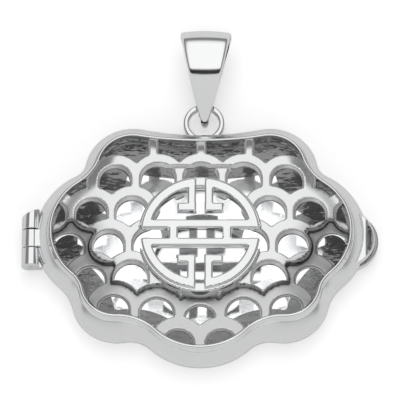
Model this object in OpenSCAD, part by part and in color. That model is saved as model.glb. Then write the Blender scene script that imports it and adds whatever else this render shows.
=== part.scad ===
// A round-lobed silver locket lying on its back: a hinged pair of dished halves, a domed
// pierced panel of overlapping rings with a round prosperity character, and a folded bail.
// The body's plan is mirror-symmetric in x. Millimetres, +Y toward the bail, +Z to the front.

/* [Case] */
// Height of the parting plane between the two halves
part_z = 2.15; // [1.9:0.05:2.4]
// Height of the raised lip round the front
lip_z = 4.3; // [4:0.05:4.6]
// Height of the lip above its foot
lip_h = 0.75; // [0.6:0.01:0.9]
// Width of the lip's bright top edge
lip_w = 0.24; // [0.1:0.01:0.3]
// Thickness of the side walls
wall = 0.8; // [0.6:0.05:1]
// Thickness of the back plate
floor_t = 0.7; // [0.5:0.05:0.9]
// Gap between the two halves along the parting plane
part_gap = 0.06; // [0.04:0.01:0.1]

/* [Pierced panel] */
// Gap between the panel and the lip
panel_gap = 0.06; // [0.04:0.01:0.1]
// Outer radius of every ring in the pattern
ring_r = 2.8; // [2.7:0.05:2.9]
// Rise of the dome's crown above the lip
crown_h = 1.15; // [1:0.05:1.3]
// Radius of the dome's spherical face
dome_r = 85; // [80:5:140]
// Height of the dome's underside
dome_under = 3.9; // [3.8:0.05:4]
// Height of the low rings round the bottom and sides
brim_top = 4.15; // [4.1:0.05:4.25]
// Thickness of the low rings
brim_t = 0.8; // [0.7:0.05:0.85]
// Width of the three struts that tie the top row to the lip
strut_w = 0.86; // [0.7:0.02:0.95]

/* [Character] */
// Outer radius of the character's ring
char_r = 5.95; // [5.8:0.05:6.1]
// Width of its ring
char_ring_w = 0.95; // [0.9:0.01:1]
// Width of its bars, posts and feet
stroke = 0.83; // [0.8:0.01:0.88]
// Width of the slots that part the ring at the top, bottom and sides
slot_w = 0.9; // [0.8:0.05:1]
// Distance of its middle from the middle of the case, toward the bail
char_y = 0.15; // [0:0.05:0.3]
// Height of its front face
char_z = 6.7; // [6.5:0.05:6.9]
// Thickness of the character
char_t = 0.85; // [0.7:0.05:1]
// Radius of the raised collar that carries it
collar_r = 6.2; // [6.1:0.05:6.3]
// Radius of the flat round of the dome that the collar stands on
plateau_r = 6.5; // [6.4:0.05:6.6]
// Height of the collar
collar_z = 6.25; // [6.15:0.05:6.35]
// Radius of the open middle behind the character
eye_r = 5.2; // [5.1:0.05:5.3]

/* [Hinge and catch] */
// Distance of the hinge axis from the middle
hinge_x = 17.1; // [17:0.05:17.2]
// Middle of the hinge along the side
hinge_y = 1.1; // [0.9:0.05:1.3]
// Whole length of the three knuckles
hinge_l = 5.8; // [5.4:0.1:6.2]
// Outer radius of the knuckles
knuckle_r = 0.9; // [0.85:0.01:0.95]
// Radius of the hinge pin
pin_r = 0.28; // [0.25:0.01:0.3]
// Radial clearance of the pin in its bores
pin_gap = 0.04; // [0.03:0.01:0.06]
// Length of each thumb tab along the side
tab_l = 4.8; // [4.4:0.1:5]
// Reach of the front thumb tab from the middle
tab_x = 17.5; // [17.4:0.05:17.7]
// How much further the back thumb tab reaches
tab_step = 0.3; // [0.15:0.05:0.35]

/* [Bail] */
// Outer radius of the soldered jump ring
jump_r = 2.07; // [2:0.01:2.15]
// Width of the jump ring's flat face
jump_w = 0.54; // [0.5:0.01:0.6]
// Thickness of the jump ring
jump_t = 0.64; // [0.56:0.02:0.66]
// Width of the bail across its top
bail_w = 5.15; // [4.6:0.05:5.3]
// Width of the bail at its tip
bail_tip_w = 0.6; // [0.5:0.05:0.7]
// Swell of the bail's sides between its tip and its top
bail_bulge = 0.6; // [0.4:0.02:0.7]
// Height of the bail's front where it is highest
bail_h = 5; // [4.8:0.1:5.2]
// Slope of its front leaf
bail_slope = 30; // [28:1:33]
// Thickness of the bail's sheet
bail_t = 0.42; // [0.38:0.02:0.46]
// Lean of the bail to the right, as it lies
bail_lean = 0.6; // [0:0.1:2]

/* [Hidden] */
$fn = 72;
arc_step = 11;
e = 0.01;
silver = [0.82, 0.82, 0.81];

// The widest outline and the lip's outer top edge, counter-clockwise from the right side.
// Columns: centre x, centre y and radius of a lobe, then the radius of the hollow after it.
WIDE = [
    [9.3, 1.5, 7.35, 1.75],
    [6.9, 8.4, 4.85, 29.6],
    [-6.9, 8.4, 4.85, 1.75],
    [-9.3, 1.5, 7.35, 4.5],
    [-8.3, -5.4, 4.6, 3],
    [0, -5.4, 7.25, 3],
    [8.3, -5.4, 4.6, 4.5]
];
LIP = [
    [8.87, 1.5, 6.35, 5.3],
    [6.9, 8.26, 3.68, 37.5],
    [-6.9, 8.26, 3.68, 5.3],
    [-8.87, 1.5, 6.35, 3.1],
    [-8.45, -4.3, 3.66, 5],
    [0, -4.55, 6.75, 5],
    [8.45, -4.3, 3.66, 3.1]
];

// The rings of the pattern, in rows 3.57 apart, mirrored in x. Columns: centre x, centre y,
// radius of the hole (0 where another piece covers it), and 1 on the dome, 0 on the low brim or
// 2 on the brim where the dome's rings lap over it.
row_1 = 6.74;
row_pitch = 3.57;
function row(k) = row_1 - (k - 1) * row_pitch;
RINGS = [
    [0, row(1), 1.75, 1],
    [4.33, row(1), 1.77, 1],
    [8.66, row(1), 1.62, 1],
    [6.95, row(2), 1.62, 1],
    [11, row(2), 1.6, 1],
    [15.1, row(2), 1.6, 1],
    [5, row(3), 1.8, 1],
    [9.25, row(3), 1.6, 1],
    [13.2, row(3), 1.55, 2],
    [2.165, row(4), 1.75, 1],
    [6.95, row(4), 1.78, 1],
    [11, row(4), 1.55, 2],
    [0, row(5) - 0.6, 1.55, 0],
    [4.33, row(5), 1.75, 0],
    [8.65, row(5) + 0.4, 1.62, 0],
    [2.165, row(6) + 0.3, 1.6, 0],
    [6.5, row(6), 0, 0]
];
STRUTS = [-4.83, 0, 4.83];
row_reach = 5;
skirt = 3.6;
lap_r = 2.05;
side_ring = RINGS[6];

// Outer face of the front half, from the foot of the lip down. Columns: share of the way from
// the widest outline to the lip, and height.
shoulder_z = lip_z - lip_h;
FLANK = [
    [0.82, shoulder_z],
    [0.59, shoulder_z - 0.23],
    [0.31, shoulder_z - 0.57],
    [0.1, shoulder_z - 0.94]
];

// Inner face of the back half, from the parting plane down. Columns: how far it stands in from
// the top of the wall, and height.
POCKET = [
    [0, part_z - part_gap / 2],
    [0, floor_t + 0.95],
    [0.24, floor_t + 0.6],
    [1.36, floor_t + 0.19],
    [3.4, floor_t]
];
rim_taper = 0.15;
rim_taper_z = part_z + 0.55;

brim_under = brim_top - brim_t;
seat_z = brim_under - panel_gap;
ledge_w = 0.25;
ledge_t = 0.2;
face_z = lip_z + crown_h;

// The character in plan, from its middle: two bars, two links between them, and four posts
// with a foot each
bar_near = 0.58;
link_near = 2.23;
link_far = link_near + slot_w;
foot_near = 2.38;
foot_far = foot_near + stroke;
foot_x = 2.3;
post_near = slot_w / 2;

knuckle_l = hinge_l / 3;
knuckle_gap = 0.06;
relief_gap = 0.1;
relief_r = knuckle_r + 0.12;
web_step = 0.05;
web_w = 1.2;
web_h = 0.77;
bore_r = pin_r + pin_gap;
tab_bulge = 1.2;
tab_r = (tab_l * tab_l / 4 + tab_bulge * tab_bulge) / (2 * tab_bulge);
tab_cx = tab_x - tab_r;
tab_t = 0.85;
well_w = 0.85;
well_depth = 0.5;
well_rim = 0.22;
tongue_x = 15;
tongue_t = 0.4;
tongue_w = 2;
tongue_low = 1.55;
tongue_root = 1.1;
tongue_root_z = part_z + 0.1;
jump_x = 0.22;
jump_y = 14.03;
jump_z = 1.44;
bail_x = 0.28;
bail_tip_y = 14.1;
bail_back_tip = [13.82, 1.2];
bail_crest_y = 20.62;
bail_face_r = 5.6;
bail_roll_turn = 12.5;
bail_steps = 12;
roll_steps = 48;

// Direction helpers
function angle_of(v) = atan2(v[1], v[0]);
function at_angle(a) = [cos(a), sin(a)];
function centre(lobe) = [lobe[0], lobe[1]];

// Centre of the hollow that touches lobes a and b from outside
function hollow(a, b) = let (
        ab = centre(b) - centre(a),
        d = norm(ab),
        ra = a[2] + a[3],
        rb = b[2] + a[3],
        along = (ra * ra - rb * rb + d * d) / (2 * d),
        across = sqrt(ra * ra - along * along),
        u = ab / d
    ) centre(a) + along * u + across * [u[1], -u[0]];

function wrap(a) = a - 360 * floor(a / 360);
function after(lobes, i) = hollow(lobes[i], lobes[(i + 1) % len(lobes)]);
function before(lobes, i) = after(lobes, (i + len(lobes) - 1) % len(lobes));

// Angles that lobe i and the hollow after it take up: [start, span] of each
function lobe_turn(lobes, i) = let (
        c = centre(lobes[i]),
        a0 = angle_of(before(lobes, i) - c)
    ) [a0, wrap(angle_of(after(lobes, i) - c) - a0)];
function hollow_turn(lobes, i) = let (
        h = after(lobes, i),
        b0 = angle_of(centre(lobes[i]) - h),
        b1 = angle_of(centre(lobes[(i + 1) % len(lobes)]) - h)
    ) [b0, -wrap(b0 - b1)];

// Points on an arc of n steps, from step k0 to step k1
function arc(c, r, turn, n, k0, k1) = [for (k = [k0 : k1]) c + r * at_angle(turn[0] + turn[1] * k / n)];
function steps(turn) = max(2, ceil(abs(turn[1]) / arc_step));

// The outline of a table, set in by a distance: lobes shrink and hollows widen by it.
// Both tables take as many steps as the widest outline needs, so that they can be lofted.
function outline(lobes, inset) = [for (i = [0 : len(lobes) - 1]) let (
        n = steps(lobe_turn(WIDE, i)),
        m = steps(hollow_turn(WIDE, i))
    ) each concat(
        arc(centre(lobes[i]), lobes[i][2] - inset, lobe_turn(lobes, i), n, 0, n),
        arc(after(lobes, i), lobes[i][3] + inset, hollow_turn(lobes, i), m, 1, m - 1)
    )];

function wide(inset) = outline(WIDE, inset);
function lip(inset) = outline(LIP, inset);
wide_edge = wide(0);
lip_edge = lip(0);
n_out = len(wide_edge);

// The outline a share t of the way from the widest to the lip
function between(t) = wide_edge + t * (lip_edge - wide_edge);

// Points of a loft through a list of [outline, height]
function loft_points(rings) = [for (ring = rings) each [for (q = ring[0]) [q[0], q[1], ring[1]]]];

// Triangles between rings i and j of a loft
function strip(i, j) = [for (k = [0 : n_out - 1]) let (m = (k + 1) % n_out)
    each [[i * n_out + k, j * n_out + k, j * n_out + m], [i * n_out + k, j * n_out + m, i * n_out + m]]];

// Triangles that close ring i on the point c, seen from above or below
function cap(i, c, up) = [for (k = [0 : n_out - 1]) let (m = (k + 1) % n_out)
    up ? [i * n_out + m, i * n_out + k, c] : [i * n_out + k, i * n_out + m, c]];

// A closed band through rings that run up its outside and down its inside
module band(rings) {
    n = len(rings);
    polyhedron(loft_points(rings), [for (i = [0 : n - 1]) each strip(i, (i + 1) % n)]);
}

// A dish through rings that run from its outer floor up and over to its inner floor
module dish(rings) {
    n = len(rings);
    low = n * n_out;
    points = concat(loft_points(rings), [[0, 0, rings[0][1]], [0, 0, rings[n - 1][1]]]);
    polyhedron(points, concat(
        [for (i = [0 : n - 2]) each strip(i, i + 1)],
        cap(0, low, false),
        cap(n - 1, low + 1, true)
    ));
}

// Knuckle number i of three along the hinge, from the bottom of the side
module knuckle(i, r, gap) {
    y0 = hinge_y - hinge_l / 2 + i * knuckle_l;
    translate([-hinge_x, y0 + knuckle_l - gap / 2, part_z])
        rotate([90, 0, 0])
            cylinder(r = r, h = knuckle_l - gap);
}

// The short web that ties knuckle i to its half's wall, under (side -1) or over (side 1) the
// parting plane
module web(i, side) {
    y0 = hinge_y - hinge_l / 2 + i * knuckle_l + knuckle_gap / 2 + web_step;
    off = part_gap / 2 + web_step;
    translate([-hinge_x, y0, part_z + (side > 0 ? off : -off - web_h)])
        cube([web_w, knuckle_l - knuckle_gap - 2 * web_step, web_h]);
}

module pin_bore() {
    translate([-hinge_x, hinge_y + hinge_l, part_z])
        rotate([90, 0, 0])
            cylinder(r = bore_r, h = 2 * hinge_l);
}

// A crescent thumb tab that reaches to x = reach, kept outside the inner wall
module tab(reach, z0, z1) {
    translate([0, 0, z0])
        linear_extrude(z1 - z0)
            difference() {
                translate([reach - tab_r, hinge_y])
                    circle(tab_r);
                polygon(wide(wall / 2));
            }
}

// Back half: dished case with a flat back, two hinge knuckles, a thumb tab and the jump ring
module back_case() {
    z1 = part_z - part_gap / 2;
    color(silver) difference() {
        union() {
            difference() {
                dish(concat(
                    [[lip_edge, 0]],
                    [for (p = FLANK) [between(p[0]), 2 * part_z - p[1]]],
                    [[wide_edge, z1]],
                    [for (p = POCKET) [wide(wall + p[0]), p[1]]]
                ));
                knuckle(1, relief_r, -relief_gap);
            }
            for (i = [0, 2]) {
                knuckle(i, knuckle_r, knuckle_gap);
                web(i, -1);
            }
            tab(tab_x + tab_step, z1 - tab_t, z1);
            translate([jump_x, jump_y, jump_z])
                rotate_extrude()
                    translate([jump_r - jump_w, 0])
                        square([jump_w, jump_t]);
        }
        pin_bore();
    }
}

// Front half: the rim with its raised lip, a ledge for the panel, the middle knuckle,
// a thumb tab with a small well, and a plain tongue that snaps inside the back wall
module front_rim() {
    z0 = part_z + part_gap / 2;
    well_x = tab_x - well_w;
    color(silver) difference() {
        union() {
            difference() {
                band(concat(
                    [[wide_edge, z0]],
                    [for (k = [len(FLANK) - 1 : -1 : 0]) [between(FLANK[k][0]), FLANK[k][1]]],
                    [
                        [lip_edge, lip_z],
                        [lip(lip_w), lip_z],
                        [lip(lip_w), seat_z],
                        [lip(lip_w + ledge_w), seat_z],
                        [lip(lip_w + ledge_w), seat_z - ledge_t],
                        [wide(wall + rim_taper), rim_taper_z],
                        [wide(wall), z0]
                    ]
                ));
                for (i = [0, 2])
                    knuckle(i, relief_r, -relief_gap);
            }
            knuckle(1, knuckle_r, knuckle_gap);
            web(1, 1);
            difference() {
                tab(tab_x, z0, z0 + tab_t);
                translate([well_x, hinge_y - tab_l / 4, z0 + tab_t - well_depth])
                    intersection() {
                        cube([well_w, tab_l / 2, tab_t]);
                        translate([tab_cx - well_x, tab_l / 4])
                            cylinder(r = tab_r - well_rim, h = tab_t);
                    }
            }
            translate([tongue_x, hinge_y - tongue_w / 2, tongue_low])
                cube([tongue_t, tongue_w, tongue_root_z + tongue_t / 2 - tongue_low]);
            translate([tongue_x, hinge_y - tongue_w / 2, tongue_root_z])
                cube([tongue_root, tongue_w, tongue_t]);
        }
        pin_bore();
    }
}

// Discs of radius r at every ring of the table that has this level, or at all for level -1
module at_rings(level, r) {
    for (ring = RINGS)
        if (level < 0 || ring[3] == level)
            for (side = ring[0] > 0 ? [-1, 1] : [1])
                translate([side * ring[0], ring[1]])
                    circle(r);
}

// One opening of the pattern: a round head and straight sides that run down to the rings below
module opening(x, y, r) {
    difference() {
        union() {
            translate([x, y])
                circle(r);
            translate([x - r, y - skirt])
                square([2 * r, skirt]);
        }
        for (ring = RINGS)
            if (ring[1] < y - row_pitch / 2 && ring[1] > y - row_reach)
                for (side = ring[0] > 0 ? [-1, 1] : [1])
                    if (abs(side * ring[0] - x) < row_reach)
                        translate([side * ring[0], ring[1]])
                            circle(ring_r);
    }
}

// The low brim's rings in plan, less what the dome covers of them
module brim() {
    difference() {
        union() {
            at_rings(0, ring_r);
            difference() {
                at_rings(2, ring_r);
                at_rings(1, lap_r);
            }
        }
        middle(plateau_r);
    }
}

// A round about the character's middle
module middle(r) {
    translate([0, char_y])
        circle(r);
}

// The pierced pattern in plan
module lattice() {
    difference() {
        intersection() {
            polygon(lip(lip_w + panel_gap));
            union() {
                at_rings(-1, ring_r);
                middle(plateau_r);
                for (x = STRUTS)
                    translate([x - strut_w / 2, row_1])
                        square([strut_w, 2 * ring_r]);
            }
        }
        for (ring = RINGS)
            if (ring[2] > 0)
                for (side = ring[0] > 0 ? [-1, 1] : [1])
                    opening(side * ring[0], ring[1], ring[2]);
        middle(eye_r);
    }
}

// The collar in plan: a band round the eye, cut through by the opening on each side of it
module collar() {
    difference() {
        middle(collar_r);
        middle(eye_r);
        for (side = [-1, 1])
            opening(side * side_ring[0], side_ring[1], side_ring[2]);
    }
}

// A quarter of the character's strokes: half a bar, half a link, a post and its foot
module strokes() {
    intersection() {
        circle(char_r - char_ring_w / 2);
        union() {
            translate([-e, bar_near])
                square([char_r, stroke]);
            translate([post_near, foot_near])
                square([stroke, char_r]);
        }
    }
    translate([link_near, -e])
        square([link_far - link_near, bar_near + 2 * e]);
    translate([post_near, foot_near])
        square([foot_x - post_near, foot_far - foot_near]);
}

// The round prosperity character in plan
module character() {
    difference() {
        circle(char_r);
        circle(char_r - char_ring_w);
        translate([-char_r, -bar_near])
            square([2 * char_r, 2 * bar_near]);
        translate([-post_near, -char_r])
            square([2 * post_near, 2 * char_r]);
    }
    for (flip_x = [0, 1])
        for (flip_y = [0, 1])
            mirror([flip_x, 0])
                mirror([0, flip_y])
                    strokes();
}

// Front panel: the domed pattern with its low brim, the collar and the character, cast in one
module scale_panel() {
    color(silver) {
        intersection() {
            translate([0, 0, dome_under])
                linear_extrude(face_z - dome_under + e)
                    difference() {
                        lattice();
                        brim();
                    }
            translate([0, 0, face_z - dome_r])
                sphere(dome_r, $fn = 360);
        }
        translate([0, 0, brim_under])
            linear_extrude(brim_t)
                intersection() {
                    lattice();
                    union() {
                        at_rings(0, ring_r);
                        at_rings(2, ring_r);
                    }
                }
        translate([0, 0, dome_under])
            linear_extrude(collar_z - dome_under)
                collar();
        translate([0, char_y, char_z - char_t])
            linear_extrude(char_t)
                character();
    }
}

module hinge_pin() {
    color(silver)
        translate([-hinge_x, hinge_y + hinge_l / 2, part_z])
            rotate([90, 0, 0])
                cylinder(r = pin_r, h = hinge_l);
}

// Outline of the bail from the side, in (along, up): the straight front leaf, the gentle arc of
// the face, the roll, and the straight back leaf
function bail_outline() = let (
        face_c = [bail_crest_y, bail_h - bail_face_r],
        leaf_end = face_c + bail_face_r * at_angle(90 + bail_slope),
        tip = [bail_tip_y, leaf_end[1] - (leaf_end[0] - bail_tip_y) * tan(bail_slope)],
        turn_out = at_angle(90 - bail_roll_turn),
        face_end = face_c + bail_face_r * turn_out,
        roll_r = face_end[1] / (1 + turn_out[1]),
        roll_c = face_end - roll_r * turn_out,
        away = bail_back_tip - roll_c,
        first = 90 - bail_roll_turn,
        last = wrap(angle_of(away) + acos(roll_r / norm(away))) - 360
    ) concat(
        [tip],
        arc(face_c, bail_face_r, [90 + bail_slope, -bail_slope - bail_roll_turn], bail_steps, 0, bail_steps),
        arc(roll_c, roll_r, [first, last - first], roll_steps, 1, roll_steps),
        [bail_back_tip]
    );

// Half the bail's width a share t of the way from its tip to its top
function bail_half(t) = (bail_tip_w + (bail_w - bail_tip_w) * t + bail_bulge * sin(180 * t)) / 2;

// Bail: a tapering strip folded over into a loop, threaded on the jump ring
module bail() {
    side_view = bail_outline();
    y0 = bail_back_tip[0] - e;
    y1 = max([for (q = side_view) q[0]]) + e;
    marks = [for (k = [0 : bail_steps]) k / bail_steps];
    back = [for (k = [bail_steps : -1 : 0]) k / bail_steps];
    color(silver)
        translate([bail_x, bail_tip_y, 0])
            rotate([0, 0, -bail_lean])
                translate([0, -bail_tip_y, 0])
                    intersection() {
                        translate([-bail_w, 0, 0])
                            rotate([90, 0, 90])
                                linear_extrude(2 * bail_w)
                                    difference() {
                                        polygon(side_view);
                                        offset(delta = -bail_t)
                                            polygon(side_view);
                                    }
                        translate([0, 0, -bail_h])
                            linear_extrude(3 * bail_h)
                                polygon([for (side = [-1, 1], t = side < 0 ? back : marks)
                                    [side * bail_half(t), y0 + (y1 - y0) * t]]);
                    }
}

back_case();
front_rim();
scale_panel();
hinge_pin();
bail();
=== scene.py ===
import math

import bpy
import numpy as np
from mathutils import Matrix, Vector


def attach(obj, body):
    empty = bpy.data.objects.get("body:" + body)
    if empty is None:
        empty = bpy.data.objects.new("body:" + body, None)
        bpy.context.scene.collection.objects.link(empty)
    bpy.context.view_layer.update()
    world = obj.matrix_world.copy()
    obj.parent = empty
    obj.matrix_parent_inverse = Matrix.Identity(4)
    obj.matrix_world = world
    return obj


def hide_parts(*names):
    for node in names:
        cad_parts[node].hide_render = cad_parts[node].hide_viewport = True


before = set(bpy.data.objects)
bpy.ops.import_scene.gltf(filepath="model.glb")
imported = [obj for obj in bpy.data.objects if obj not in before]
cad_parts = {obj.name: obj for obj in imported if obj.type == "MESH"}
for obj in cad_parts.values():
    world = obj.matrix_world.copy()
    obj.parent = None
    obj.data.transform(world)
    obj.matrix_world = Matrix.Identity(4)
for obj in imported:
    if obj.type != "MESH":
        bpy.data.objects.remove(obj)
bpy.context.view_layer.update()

# The back half: a shallow dish stamped in sterling silver and rhodium plated, with the same
# lobed plan as the front and a flat polished back on which the locket lies.
MM = 0.001
PART_Z = 2.15
PART_GAP = 0.06
WALL = 0.8
FLOOR_T = 0.7
LIP_Z = 4.3
SHOULDER_Z = 3.55
SHOULDER_SHARE = 0.82
FLANK_BEND = 0.43
FLANK_STEPS = 22
ARC_STEP = 0.16
# Plan of the widest line and of the lip's outer top edge, counter-clockwise from the right.
# Columns: centre x, centre y and radius of a lobe, then the radius of the hollow after it.
WIDE = [
    [9.3, 1.5, 7.35, 1.75],
    [6.9, 8.4, 4.85, 29.6],
    [-6.9, 8.4, 4.85, 1.75],
    [-9.3, 1.5, 7.35, 4.5],
    [-8.3, -5.4, 4.6, 3],
    [0, -5.4, 7.25, 3],
    [8.3, -5.4, 4.6, 4.5],
]
LIP = [
    [8.87, 1.5, 6.35, 5.3],
    [6.9, 8.26, 3.68, 37.5],
    [-6.9, 8.26, 3.68, 5.3],
    [-8.87, 1.5, 6.35, 3.1],
    [-8.45, -4.3, 3.66, 5],
    [0, -4.55, 6.75, 5],
    [8.45, -4.3, 3.66, 3.1],
]


def hollow_centre(a, b):
    """Centre of the circle of radius a[3] that touches lobes a and b from outside: where the
    circles of radius a[2] + a[3] and b[2] + a[3] about their centres cross."""
    start, end = np.array(a[:2]), np.array(b[:2])
    apart = np.linalg.norm(end - start)
    unit = (end - start) / apart
    ra, rb = a[2] + a[3], b[2] + a[3]
    along = (ra**2 - rb**2 + apart**2) / (2 * apart)
    across = math.sqrt(ra**2 - along**2)
    return start + along * unit + across * np.array([unit[1], -unit[0]])


def lobe_arcs(table):
    """The arcs of a lobed plan in order, as (centre, radius, start angle, turn): each lobe turns
    left between its touching points and each hollow turns right."""
    count = len(table)
    hollows = [hollow_centre(table[i], table[(i + 1) % count]) for i in range(count)]
    arcs = []
    for i, lobe in enumerate(table):
        centre = np.array(lobe[:2])
        following = np.array(table[(i + 1) % count][:2])
        a0 = math.atan2(*(hollows[i - 1] - centre)[::-1])
        a1 = math.atan2(*(hollows[i] - centre)[::-1])
        arcs.append((centre, lobe[2], a0, (a1 - a0) % math.tau))
        b0 = math.atan2(*(centre - hollows[i])[::-1])
        b1 = math.atan2(*(following - hollows[i])[::-1])
        arcs.append((hollows[i], lobe[3], b0, -((b0 - b1) % math.tau)))
    return arcs


def outline(table, inset=0.0):
    """Points of a lobed plan set in by a distance: centre + radius (cos a, sin a) along each arc,
    with as many points an arc as the widest plan needs."""
    points = []
    for sized, (centre, radius, start, turn) in zip(lobe_arcs(WIDE), lobe_arcs(table)):
        count = max(6, math.ceil(abs(sized[3]) * sized[1] / ARC_STEP))
        angle = start + turn * np.arange(count) / count
        radius = radius - inset * np.sign(turn)
        points.append(centre + radius * np.stack([np.cos(angle), np.sin(angle)], 1))
    return np.concatenate(points)


def plan(share, inset=0.0):
    """The plan a share of the way from the widest line to the lip's edge, set in."""
    return (1 - share) * outline(WIDE, inset) + share * outline(LIP, inset)


def quads(rows, columns, wrap_rows, wrap_columns):
    """Faces of a grid of rows x columns points, numbered row by row; a wrapped side closes."""
    i = np.arange(rows if wrap_rows else rows - 1)[:, None]
    j = np.arange(columns if wrap_columns else columns - 1)[None, :]
    i1, j1 = (i + 1) % rows, (j + 1) % columns
    corners = [i * columns + j, i * columns + j1, i1 * columns + j1, i1 * columns + j]
    return np.stack([c.ravel() for c in np.broadcast_arrays(*corners)], 1)


def loft(stations, cap_ends=False):
    """A closed surface through stations (share, inset, z), each a lobed plan at a height. Rings
    wrap round a band; with cap_ends the first and last are closed on their middle point."""
    rings = np.stack([
        np.column_stack([plan(share, inset), np.full(len(plan(share)), z)])
        for share, inset, z in stations
    ])
    rows, columns = rings.shape[:2]
    points = rings.reshape(-1, 3)
    faces = quads(rows, columns, not cap_ends, True).tolist()
    if cap_ends:
        low, high = len(points), len(points) + 1
        points = np.vstack([points, [0, 0, stations[0][2]], [0, 0, stations[-1][2]]])
        k = np.arange(columns)
        k1 = (k + 1) % columns
        faces += np.stack([k1, k, np.full(columns, low)], 1).tolist()
        last = (rows - 1) * columns
        faces += np.stack([last + k, last + k1, np.full(columns, high)], 1).tolist()
    return points, faces


def make_piece(name, points, faces, body, materials, node=None, kinds=None, sharp=35, unshaded_share=None):
    """Puts an array of points in millimetres and their faces into a mesh that rides on a body.
    kinds gives the number of each face's material, and the last argument how far each point is
    spared the painted shade of its materials, stored as a point attribute."""
    mesh = bpy.data.meshes.new(name)
    faces = faces.tolist() if isinstance(faces, np.ndarray) else faces
    mesh.from_pydata((np.asarray(points) * MM).tolist(), [], faces)
    mesh.update()
    mesh.shade_smooth()
    mesh.set_sharp_from_angle(angle=math.radians(sharp))
    for material in materials:
        mesh.materials.append(material)
    if kinds is not None:
        mesh.polygons.foreach_set("material_index", np.asarray(kinds, dtype=np.int32))
    # A point attribute for painted shade: the materials darken the tone where it is low.
    if unshaded_share is not None:
        mesh.attributes.new("unshaded_share", "FLOAT", "POINT").data.foreach_set(
            "value", np.asarray(unshaded_share, dtype=np.float32))
    piece = bpy.data.objects.new(name, mesh)
    bpy.context.scene.collection.objects.link(piece)
    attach(piece, body)
    if node:
        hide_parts(node)
    return piece


class Wire:
    """One shader socket. Arithmetic on wires and numbers adds Math nodes to the tree."""

    def __init__(self, tree, socket=None):
        self.tree = tree
        self.socket = socket

    def make(self, kind, settings, inputs, out=0):
        """A node of this kind: its settings first, then its inputs by name or number."""
        node = self.tree.nodes.new(kind)
        for key, value in settings.items():
            setattr(node, key, value)
        for key, value in inputs.items():
            if isinstance(value, Wire):
                self.tree.links.new(value.socket, node.inputs[key])
            else:
                node.inputs[key].default_value = value
        return Wire(self.tree, node.outputs[out])

    def math(self, operation, *values):
        """One Math node on this many values."""
        return self.make("ShaderNodeMath", {"operation": operation}, dict(enumerate(values)))

    def kept_to_one(self):
        """The value kept between 0 and 1."""
        return self.make("ShaderNodeClamp", {}, {0: self})

    def __add__(self, other):
        return self.math("ADD", self, other)

    def __radd__(self, other):
        return self.math("ADD", other, self)

    def __sub__(self, other):
        return self.math("SUBTRACT", self, other)

    def __rsub__(self, other):
        return self.math("SUBTRACT", other, self)

    def __mul__(self, other):
        return self.math("MULTIPLY", self, other)

    def __rmul__(self, other):
        return self.math("MULTIPLY", other, self)

    def __truediv__(self, other):
        return self.math("DIVIDE", self, other)


# Turn, stretch, scale and detail of the marks and waves that silver shows.
MARKS = ((0.3, 0.2, 0.5), (1, 14, 1), 900, 3)
CROSS = ((0.1, 0.4, 2.1), (1, 18, 1), 700, 3)
HAZE = ((0, 0, 0), (1, 1, 1), 260, 4)
RIPPLES = ((0.2, 0.1, 0.25), (1, 3.2, 1), 420, 2)
FINE_RIPPLES = ((0, 0, -0.5), (1, 2, 1), 900, 2)
SWELLS = ((0, 0, 0.6), (1, 1.8, 1), 170, 0)
NOISE_ROUGH = 0.6
HAZE_SWING = 0.08
BUFF_SWING = 0.1
COOL_GREEN = 1.004
COOL_BLUE = 1.01
MARK_BUMP = 0.35
HAZE_BUMP = 0.12
BUMP_DEPTH = 0.02
BUMP_STRENGTH = 0.25
FINE_SHARE = 0.4


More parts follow.
